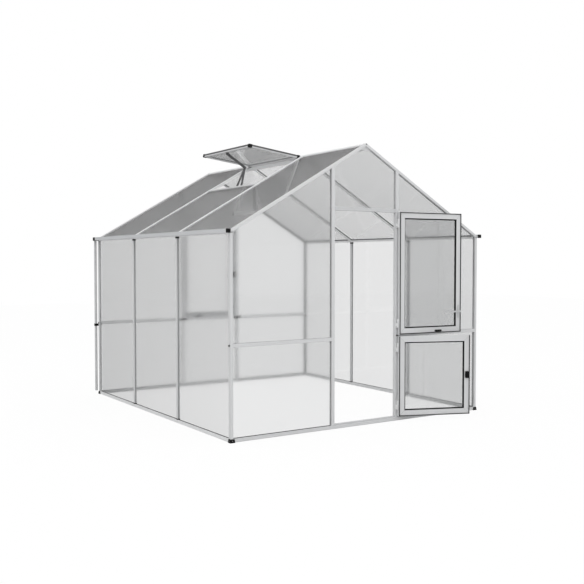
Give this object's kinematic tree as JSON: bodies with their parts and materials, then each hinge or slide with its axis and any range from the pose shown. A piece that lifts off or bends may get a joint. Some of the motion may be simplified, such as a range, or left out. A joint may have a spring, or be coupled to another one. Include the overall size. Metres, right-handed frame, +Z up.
{
  "type": "glass greenhouse",
  "caption": "Gable-roofed garden greenhouse with an aluminium frame, glazed walls and roof, a split stable door, eaves gutters with downpipes and an open roof vent.",
  "frame": {"origin": "on the ground in the middle of the doorway, at the centre of the front sill's bearing strip", "axes": "+X to the right seen from the door side, +Y from the door gable to the rear gable, +Z up"},
  "size_m": [2.543, 2.9983, 2.3085],
  "materials": {
    "frame_aluminium": "mill-finish extrusion",
    "glazing": "clear sheet with a light haze",
    "black_plastic": "moulded, fine grain",
    "hinge_steel": "satin",
    "pipe_grey": "extruded pipe"
  },
  "bodies": {
    "house": {"front_sill": "frame_aluminium", "rear_sill": "frame_aluminium", "side_sills": "frame_aluminium", "corner_feet": "black_plastic", "corner_posts": "frame_aluminium", "side_studs": "frame_aluminium", "stud_caps": "black_plastic", "eaves_rails": "frame_aluminium", "left_rafters": "frame_aluminium", "right_rafters": "frame_aluminium", "ridge_beam": "frame_aluminium", "left_roof_bars": "frame_aluminium", "right_roof_bars": "frame_aluminium", "vent_sill": "frame_aluminium", "door_jambs": "frame_aluminium", "door_header": "frame_aluminium", "front_mid_rails": "frame_aluminium", "rear_posts": "frame_aluminium", "rear_rails": "frame_aluminium", "front_panes": "glazing", "rear_panes": "glazing", "left_wall_panes": "glazing", "right_wall_panes": "glazing", "left_roof_panes": "glazing", "right_roof_panes": "glazing", "left_gutter": "frame_aluminium", "right_gutter": "frame_aluminium", "gutter_fittings": "black_plastic", "downpipes": "pipe_grey", "downpipe_clips": "black_plastic", "vent_frame": "frame_aluminium", "vent_pane": "glazing", "vent_caps": "black_plastic", "vent_hinge_rod": "frame_aluminium", "vent_opener": "black_plastic", "jamb_hinges": "hinge_steel", "rear_window_frame": "frame_aluminium", "rear_window_pane": "glazing", "rear_window_hinges": "hinge_steel", "rear_window_handle": "black_plastic", "rear_window_latch": "black_plastic"},
    "lower_leaf": {"lower_leaf_frame": "frame_aluminium", "lower_leaf_pane": "glazing", "lower_leaf_hinges": "hinge_steel", "lower_leaf_latch": "black_plastic"},
    "upper_leaf": {"upper_leaf_frame": "frame_aluminium", "upper_leaf_pane": "glazing", "upper_leaf_hinges": "hinge_steel", "upper_leaf_handle": "hinge_steel", "upper_leaf_latch": "black_plastic"}
  },
  "joints": [
    {"name": "lower_leaf_swing", "type": "hinge", "parent": "house", "child": "lower_leaf", "pos_m": [0.3145, -0.037, 0.3695], "axis": [0, 0, 1], "range_deg": [-159, 16]},
    {"name": "upper_leaf_swing", "type": "hinge", "parent": "house", "child": "upper_leaf", "pos_m": [0.3145, -0.037, 1.2125], "axis": [0, 0, 1], "range_deg": [-173.5, 1.5]}
  ]
}
